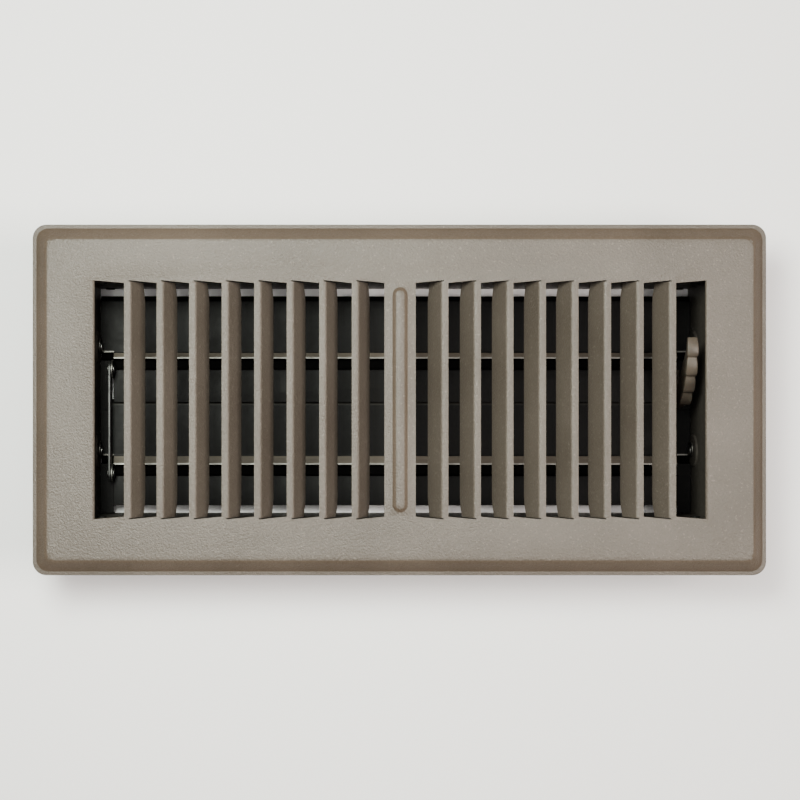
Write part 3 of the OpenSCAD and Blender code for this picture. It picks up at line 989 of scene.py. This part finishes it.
@dataclass
class DamperBlade:
    """One folded blade of the damper, about its own pivot line. Sizes in millimetres."""

    finishes: Finishes
    node: str
    pivot_y: float
    fold_shift: float = 0.0
    main_x: float = 117.4
    end_x: float = 122.9
    slit: Vec2 = (117.5, 118.9)
    slit_from: float = -6
    sheet_t: float = 0.6
    flat_y: Vec2 = (-1.5, 18.9)
    back_z: float = -2.6
    front_z: float = -1.6
    ear_y: Vec2 = (-2.3, 3.7)
    ear_top: float = 3.2
    ear_hole: float = 1.56
    tab_x: float = -117.2
    tab_y: Vec2 = (-13.0, -5.4)
    tab_top: float = 7.0
    crank: Vec2 = (-9.2, 3.2)
    crank_hole: float = 1.22
    edge_round: float = 0.07
    # the turned-down rear edge in Y and Z, from the flat outwards
    rear_lip: tuple[Vec2, ...] = ((18.9, -2.6), (19.35, -2.68), (19.75, -2.9), (21.3, -4.4))
    # the main part in Y and Z, from the flat forwards: its bend, the fold's crest and the groove
    bend: tuple[Vec2, ...] = ((-1.5, -2.6), (-2.0, -2.54), (-2.45, -2.36))
    crest: tuple[Vec2, ...] = ((-3.9, -1.66), (-4.15, -1.53), (-4.5, -1.53))
    hollow: tuple[Vec2, ...] = (
        (-4.66, -1.8), (-4.78, -3.7), (-4.92, -4.12), (-5.3, -4.38), (-5.7, -4.4), (-8.4, -4.4),
        (-8.8, -4.34), (-9.1, -4.05), (-9.42, -2.1), (-9.62, -1.72), (-10.0, -1.6))
    front_y: float = -22.8
    # an end part in Y and Z, from the flat forwards: its sheared foot, groove and finger
    finger: tuple[Vec2, ...] = (
        (-1.5, -2.6), (-1.85, -2.6), (-2.0, -2.8), (-2.05, -4.1), (-2.3, -4.4), (-4.9, -4.4), (-5.2, -4.15),
        (-5.42, -2.0), (-5.7, -1.6), (-26.0, -1.6))

    def main_fold(self) -> list[Vec2]:
        """Gives the bend, fold, groove and front half of the main part."""
        shifted = [(y + self.fold_shift, z) for y, z in self.crest + self.hollow]
        return [*self.bend, *shifted, (self.front_y, self.front_z)]

    def coat_at(self, middle: Vector) -> int:
        """Gives the finish at a place on the sheet.

        Args:
            middle: the place.

        Returns:
            0 coated, 1 rubbed bare along the fold, 2 the groove in near-black painted shade, 3 the fold's
            slope in a lighter coat as a painted reflection, and 4 the front blade's rear lip in a lighter
            coat that paints out the shade between the blades.
        """
        # painted light: the front blade's rear lip gets a lighter coat over the shade between the blades
        if self.node == "front_blade" and middle.y > self.flat_y[1]:
            return 4
        main = abs(middle.x) < self.main_x
        y = middle.y - self.fold_shift if main else middle.y
        # where the groove starts, where it meets the crest, and where the crest and the slope end
        front, groove, crest, slope = (-9.7, -4.56, -4.1, -3.0) if main else (-5.6, -2.02, -1.6, -1.6)
        if not front < y < slope and not (main and -4.2 < y and middle.y < -2.3):
            return 0
        # painted shade: the groove gets the near-black coat
        if y < groove:
            return 2
        # 3 is the fold's slope in a lighter coat, a painted reflection
        return 1 if y < crest else 3

    def fold(self) -> Piece:
        """Folds the sheet out of one flat strip."""
        piece = begin(self.node + "_sheet")
        front, back = self.flat_y
        sheet((-self.end_x, self.end_x), self.flat_y, self.back_z)
        for side in (-1, 1):
            cut(Axis.X, side * self.main_x, lambda m: True)
        pick(Part.EDGE, lambda m: near(m.y, back))
        pull(Axis.Y, self.rear_lip)
        pick(Part.EDGE, lambda m: near(m.y, front) and abs(m.x) < self.main_x)
        pull(Axis.Y, self.main_fold())
        for side in (-1, 1):
            pick(Part.EDGE, lambda m: (
                near(m.y, front) and near(m.z, self.back_z) and m.x * side > self.main_x))
            pull(Axis.Y, self.finger)
        if self.node == "rear_blade":
            self.open_slit()
        face_up(lambda m: abs(m.x) < 10 and m.y > 5)
        bpy.ops.object.mode_set(mode="OBJECT")
        give(piece, self.finishes.folded())
        for one in piece.data.polygons:
            one.material_index = self.coat_at(one.center / MM)
        thicken_sheet(piece, self.sheet_t, 0)
        return piece

    def open_slit(self) -> None:
        """Shears the finger at the link's end free, so that the crank tab can stand up beside it."""
        for axis, place in ((Axis.X, -self.slit[1]), (Axis.Y, self.slit_from)):
            cut(axis, place, lambda m: m.x < -self.main_x - 0.3 and m.y < self.slit_from + 0.4)
        pick(Part.FACE, lambda m: -self.slit[1] < m.x < -self.main_x and m.y < self.slit_from)
        bpy.ops.mesh.delete(type="FACE")

    def uprights(self) -> list[Piece]:
        """Makes the two ears and the crank tab, with their holes."""
        made = []
        for side in (-1, 1):
            x = side * (self.end_x - self.sheet_t / 2)
            ear = upright("ear", x, self.ear_y, (self.back_z, self.ear_top), self.sheet_t)
            drill(ear, (x, 0, 0), self.ear_hole)
            made.append(ear)
        tab = upright("tab", self.tab_x, self.tab_y, (self.front_z, self.tab_top), self.sheet_t)
        drill(tab, (self.tab_x, *self.crank), self.crank_hole)
        made.append(tab)
        for part in made:
            give(part, self.finishes.folded())
            for one in part.data.polygons:
                one.material_index = int(abs(one.normal.x) < 0.5)
        return made

    def build(self) -> None:
        """Folds the blade, adds its ears and crank tab and sets it on its pivot line."""
        folded = self.fold()
        if self.node == "rear_blade":
            for y in WHEEL_RIVET_YS:
                drill(folded, (WHEEL_RIVET_X, y, self.front_z), WHEEL_RIVET_HOLE, Axis.Z)
        piece = weld("folded_" + self.node, [folded, *self.uprights()])
        carry(piece, self.pivot_y, PIVOT_Z)
        soften(piece, self.edge_round, 1, 60)
        settle(piece, self.finishes.folded(), self.node, "blade_black", self.node, angle=32)


@dataclass
class Link:
    """The strip that ties both blades' crank tabs together, with its two rivets. Sizes in millimetres."""

    finishes: Finishes
    ends_y: Vec2 = (-30.0, 13.0)
    holes: Vec2 = (1.5, 1.26)
    z: float = -22.8
    inner_x: float = -117.8
    thick: float = 0.8
    half: float = 3.5
    edge_round: float = 0.12
    tail: tuple[Vec2, ...] = (
        (-119.45, 0.7), (-119.42, 1.3), (-119.3, 1.8), (-119.1, 2.08), (-118.85, 2.1), (-118.76, 2.0),
        (-118.76, 1.2))
    head: tuple[Vec2, ...] = (
        (-116.88, 1.2), (-116.88, 1.85), (-116.8, 1.9), (-116.5, 1.84), (-116.28, 1.5), (-116.2, 0.9))

    def bar(self) -> None:
        """Blanks the strip with round ends and its two holes."""
        piece = begin("zinc_link")
        outer = self.inner_x - self.thick
        front, rear = self.ends_y
        middle = (front + rear) / 2
        place = (outer, middle, self.z)
        disc(48, self.half, place, Axis.X)
        # half a side's turn, so that no corner lies on the middle line
        bpy.ops.transform.rotate(
            value=math.radians(360 / 96), orient_axis="X", center_override=[c * MM for c in place])
        for side in (-1, 1):
            pick(Part.VERT, lambda m: 0.01 < (m.y - middle) * side < self.half + 0.2)
            move(y=side * (rear - front) / 2)
        thicken(x=self.thick)
        for y, radius in zip(self.ends_y, self.holes):
            drill(piece, (outer + self.thick / 2, y, self.z), radius)
        soften(piece, self.edge_round, 2, 50)
        settle(piece, [self.finishes.zinc], "link", "link_zinc", "link_bar", angle=32)

    def rivets(self) -> None:
        """Sets a rivet with a factory head and a peened tail through each end."""
        front, rear = self.ends_y
        first = turned("peened_link_rivet_front", (0, front, self.z), Axis.X, self.tail + self.head)
        second = copy_of(first, "peened_link_rivet_rear", shift=(0, rear - front, 0))
        for piece, body in ((first, "front_blade"), (second, "rear_blade")):
            settle(piece, [self.finishes.rivet], body, "rivet_zinc", "link_rivet_" + body.split("_")[0])

    def build(self) -> None:
        """Makes the strip and its rivets."""
        self.bar()
        self.rivets()


@dataclass
class Thumbwheel:
    """The moulded sector that a fingertip rolls, with its two rivets. Sizes in mm about its pivot."""

    finishes: Finishes
    x: float = 116.7
    width: float = 4.6
    radius: float = 28
    rim: float = 2.6
    web: float = 2.4
    rim_lap: float = 0.2  # how far the web runs into the rim
    angles: Vec2 = (84, 152)
    steps: int = 4
    waist: float = 0.16  # how much narrower the rim is for each millimetre that a step drops
    hub_z: float = 1.2
    base: float = -1.29
    foot: Vec2 = (-20.7, -9.3)
    foot_t: float = 1.8
    foot_x: Vec2 = (113.3, 117.9)
    tool_hole: float = 1.9  # room in the web for the rivets' tails
    rounds: Vec3 = (0.42, 0.2, 0.3)  # the edges of the rim, the web and the foot
    # one finger step: share of its arc and drop of its surface, a slow rise and a rounded end
    lobe: tuple[Vec2, ...] = (
        (0.0, 1.1), (0.13, 0.74), (0.3, 0.36), (0.5, 0.1), (0.72, 0.0), (0.86, 0.08), (0.95, 0.45),
        (1.0, 1.1))
    rivet_head: tuple[Vec2, ...] = (
        (-2.6, 0.9), (-2.58, 1.3), (-2.45, 1.65), (-2.2, 1.8), (-1.92, 1.8), (-1.92, 1.1))
    rivet_tail: tuple[Vec2, ...] = (
        (0.52, 1.1), (0.52, 1.62), (0.66, 1.7), (0.95, 1.6), (1.12, 1.3), (1.2, 0.7))

    def stations(self) -> list[Vec2]:
        """Gives the angle and outer radius of every station round the rim."""
        step = (self.angles[1] - self.angles[0]) / self.steps
        return [
            (self.angles[0] + step * number + step * share, self.radius - drop)
            for number in range(self.steps)
            for share, drop in self.lobe[1 if number else 0:]
        ]

    def spin_rim(self) -> Piece:
        """Spins the rim's section round the pivot, then drops and narrows it between the finger steps."""
        piece = begin("wheel_rim")
        first = math.radians(self.angles[0])
        middle = (self.radius - self.rim / 2) * MM
        place = (self.x * MM, middle * math.cos(first), middle * math.sin(first))
        bpy.ops.mesh.primitive_plane_add(size=1, location=place, rotation=(first, 0, 0))
        bpy.ops.transform.resize(
            value=(self.width * MM, self.rim * MM, self.rim * MM), center_override=place)
        stations = self.stations()
        for (before, _), (after, _) in zip(stations, stations[1:]):
            turn = -math.radians(after - before)
            bpy.ops.mesh.spin(steps=1, angle=turn, center=(0, 0, 0), axis=(1, 0, 0))
        for angle, radius in stations:
            way = Vector((0, math.cos(math.radians(angle)), math.sin(math.radians(angle))))
            pick(Part.VERT, lambda m: (Vector((0, m.y, m.z)) - way * self.radius).length < 0.05)
            move(*(way * (radius - self.radius)))
            pick(Part.VERT, lambda m: abs(m.y * way.z - m.z * way.y) < 0.05 and m.dot(way) > 0)
            narrow = 1 - self.waist * (self.radius - radius)
            bpy.ops.transform.resize(value=(narrow, 1, 1), center_override=(self.x * MM, 0, 0))
        close_up()
        soften(piece, self.rounds[0], 3, 60)
        return piece

    def web_plate(self) -> Piece:
        """Cuts the web out of a disc between the rim and the foot, and thickens it."""
        piece = begin("wheel_web")
        inner = self.radius - self.rim + self.rim_lap
        disc(96, inner, (self.x - self.web / 2, 0, 0), Axis.X)
        start, end = ((inner * math.cos(a), inner * math.sin(a)) for a in map(math.radians, self.angles))
        corners = [start, (0.0, self.hub_z), (self.foot[1], self.base), (self.foot[0], self.base), end]
        for (y0, z0), (y1, z1) in zip(corners, corners[1:]):
            bpy.ops.mesh.select_all(action="SELECT")
            bpy.ops.mesh.bisect(
                plane_co=(0, y0 * MM, z0 * MM), plane_no=(0, z1 - z0, y0 - y1), clear_inner=True)
        thicken(x=self.web)
        soften(piece, self.rounds[1], 2, 40)
        return piece

    def tread(self) -> Piece:
        """Moulds the foot."""
        piece = begin("wheel_foot")
        sheet(self.foot_x, self.foot, self.base)
        thicken(z=self.foot_t)
        soften(piece, self.rounds[2], 2, 40)
        return piece

    def rivets(self) -> None:
        """Turns the two rivets that hold the foot to the blade."""
        upper, lower = WHEEL_RIVET_YS
        first = turned("upper", (WHEEL_RIVET_X, upper, 0), Axis.Z, self.rivet_head + self.rivet_tail)
        pair = weld("peened_wheel_rivets", [first, copy_of(first, "lower", shift=(0, lower - upper, 0))])
        carry(pair, REAR_PIVOT_Y, PIVOT_Z)
        settle(pair, [self.finishes.rivet], "rear_blade", "rivet_zinc", "wheel_rivets")

    def build(self) -> None:
        """Moulds the sector and rivets it down."""
        web = self.web_plate()
        foot = self.tread()
        for y in WHEEL_RIVET_YS:
            drill(foot, (WHEEL_RIVET_X, y, self.base), WHEEL_RIVET_HOLE, Axis.Z)
            drill(web, (WHEEL_RIVET_X, y, self.base + self.foot_t + 1.2), self.tool_hole, Axis.Z)
        piece = weld("moulded_thumbwheel", [self.spin_rim(), web, foot])
        carry(piece, REAR_PIVOT_Y, PIVOT_Z)
        settle(piece, [self.finishes.plastic], "rear_blade", "wheel_plastic", "thumbwheel")
        self.rivets()


# ---- box ----


@dataclass
class Pivots:
    """The four ear rivets. Sizes in millimetres."""

    finishes: Finishes
    washer_t: float = 0.3  # how much further out the head sits where the washer is
    tail: tuple[Vec2, ...] = (
        (121.52, 0.6), (121.45, 0.95), (121.5, 1.5), (121.66, 2.0), (121.86, 2.28), (122.06, 2.3),
        (122.15, 2.15), (122.15, 1.5))
    head: tuple[Vec2, ...] = (
        (123.8, 1.5), (123.8, 2.9), (123.9, 3.0), (124.4, 2.96), (124.7, 2.7), (124.86, 2.1), (124.9, 1.2))

    def build(self) -> None:
        """Turns one rivet, copies it to the four pivots and hands them over."""
        spaced = tuple((along + self.washer_t, radius) for along, radius in self.head)
        rear = turned("rivet_rear_wheel_end", (0, REAR_PIVOT_Y, PIVOT_Z), Axis.X, self.tail + spaced)
        front = turned("rivet_front_wheel_end", (0, FRONT_PIVOT_Y, PIVOT_Z), Axis.X, self.tail + self.head)
        mirror = (-1, 1, 1)
        shift = (0, REAR_PIVOT_Y - FRONT_PIVOT_Y, 0)
        made = {
            "rear_wheel_end": rear,
            "front_wheel_end": front,
            "front_link_end": copy_of(front, "rivet_front_link_end", mirror),
            "rear_link_end": copy_of(front, "rivet_rear_link_end", mirror, shift),
        }
        for place, piece in made.items():
            settle(piece, [self.finishes.rivet], "register", "rivet_zinc", "pivot_rivet_" + place)


@dataclass
class DamperBox:
    """The four black walls and the eight rivets that hold their corners. Sizes in millimetres."""

    finishes: Finishes
    corner_x: float = 119.4
    rivet_zs: Vec2 = (-6.0, -32.8)
    profile: tuple[Vec2, ...] = (
        (46.72, 1.0), (46.7, 1.5), (46.78, 1.9), (46.95, 2.0), (47.18, 2.0), (47.18, 1.2), (48.42, 1.2),
        (48.42, 2.1), (48.55, 2.2), (48.75, 2.0), (48.92, 1.5), (49.0, 0.8))

    def walls(self) -> None:
        """Coats the walls."""
        for node in ("rear_wall", "front_wall", "link_end_wall", "wheel_end_wall"):
            dress(node, self.finishes.box)

    def rivets(self) -> None:
        """Turns one rivet and copies it round the corners."""
        upper, lower = self.rivet_zs
        top = turned("upper", (self.corner_x, 0, upper), Axis.Y, self.profile)
        pair = weld("pair", [top, copy_of(top, "lower", shift=(0, 0, lower - upper))])
        for row, y in (("rear", 1), ("front", -1)):
            for end in End:
                place = f"{row}_{end.name.lower()}_end"
                piece = copy_of(pair, "painted_rivets_" + place, (end.value, y, 1))
                settle(piece, [self.finishes.painted], "register", "rivet_black", "corner_rivets_" + place)
        bpy.data.objects.remove(pair)

    def build(self) -> None:
        """Coats the walls and sets the rivets."""
        self.walls()
        self.rivets()


# ---- studio ----


@dataclass(frozen=True)
class SoftBox:
    """One square light that points at the plate. Sizes in metres, power in watts."""

    name: str
    place: Vec3
    size: float
    power: float
    colour: str

    def hang(self) -> None:
        """Hangs the light."""
        data = bpy.data.lights.new(self.name, "AREA")
        data.shape = "SQUARE"
        data.size = self.size
        data.energy = self.power
        data.color = linear(self.colour)[:3]
        lamp = bpy.data.objects.new(self.name, data)
        bpy.context.scene.collection.objects.link(lamp)
        lamp.location = self.place
        lamp.rotation_mode = "QUATERNION"
        lamp.rotation_quaternion = (-Vector(self.place)).to_track_quat("-Z", "Y")


@dataclass
class Studio:
    """A plain pale floor, soft light from the upper left, and the camera above the plate. Sizes in metres."""

    floor_z: float = -0.0362
    floor_size: float = 6
    floor_tones: tuple[str, str] = ("#f3f3f5", "#f7f7f9")
    surround: str = "#f2f0ee"
    surround_strength: float = 0.114
    lights: tuple[SoftBox, ...] = (
        SoftBox("overhead", (-0.22, 0.18, 1.6), 1.3, 22, "#fffaf4"),  # broad and soft: the even light
        SoftBox("side_fill", (0.72, -0.05, 1.0), 0.6, 18, "#fff4ea"),  # reaches the fins that lean left
        SoftBox("window", (-0.16, 0.15, 0.5), 0.2, 6.2, "#f0f6e8"),  # the sheen at the upper left
    )
    camera_at: Vec3 = (-0.036, -0.006, 0.605)
    sensor: float = 36
    lens: float = 68.31
    shift: Vec2 = (0.11375, 0.01875)

    def camera(self) -> None:
        """Places the camera straight above, off centre."""
        data = bpy.data.cameras.new("camera")
        data.lens = self.lens
        data.sensor_width = self.sensor
        data.shift_x, data.shift_y = self.shift
        data.clip_start = 0.01
        data.clip_end = 20
        camera = bpy.data.objects.new("camera", data)
        bpy.context.scene.collection.objects.link(camera)
        camera.location = self.camera_at
        bpy.context.scene.camera = camera

    def floor(self) -> None:
        """Lays the pale floor."""
        fresh()
        bpy.ops.mesh.primitive_plane_add(size=self.floor_size, location=(0, 0, self.floor_z))
        plane = bpy.context.object
        plane.name = "floor"
        # matt painted board: a plain pale ground with slow, barely visible unevenness
        made, tree, place = start_material("matt_white_board")
        wave = add(tree, "TexNoise", {"Vector": place, "Scale": 3.0})
        colour = stain(tree, wave.outputs["Fac"], (0, 1), *self.floor_tones)
        end_material(tree, {"Base Color": colour, "Roughness": 0.9, "Specular IOR Level": 0.1})
        plane.data.materials.append(made)

    def light(self) -> None:
        """Sets the lights and an even surround."""
        world = bpy.data.worlds.new("even_surround")
        world.use_nodes = True
        ground = world.node_tree.nodes["Background"].inputs
        ground["Color"].default_value = linear(self.surround)
        ground["Strength"].default_value = self.surround_strength
        bpy.context.scene.world = world
        for light in self.lights:
            light.hang()

    def build(self) -> None:
        """Sets up the whole studio."""
        self.camera()
        self.floor()
        self.light()


def main() -> None:
    """Builds the register, piece by piece, and its studio."""
    logging.basicConfig(level=logging.INFO, format="%(message)s")
    Studio().build()
    finishes = Finishes()
    Faceplate(finishes).build()
    DamperBox(finishes).build()
    DamperBlade(finishes, "rear_blade", REAR_PIVOT_Y).build()
    DamperBlade(finishes, "front_blade", FRONT_PIVOT_Y, fold_shift=-1.2).build()
    Link(finishes).build()
    Pivots(finishes).build()
    dress("friction_washer", finishes.zinc)
    Thumbwheel(finishes).build()
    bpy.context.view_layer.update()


if __name__ == "__main__":
    main()
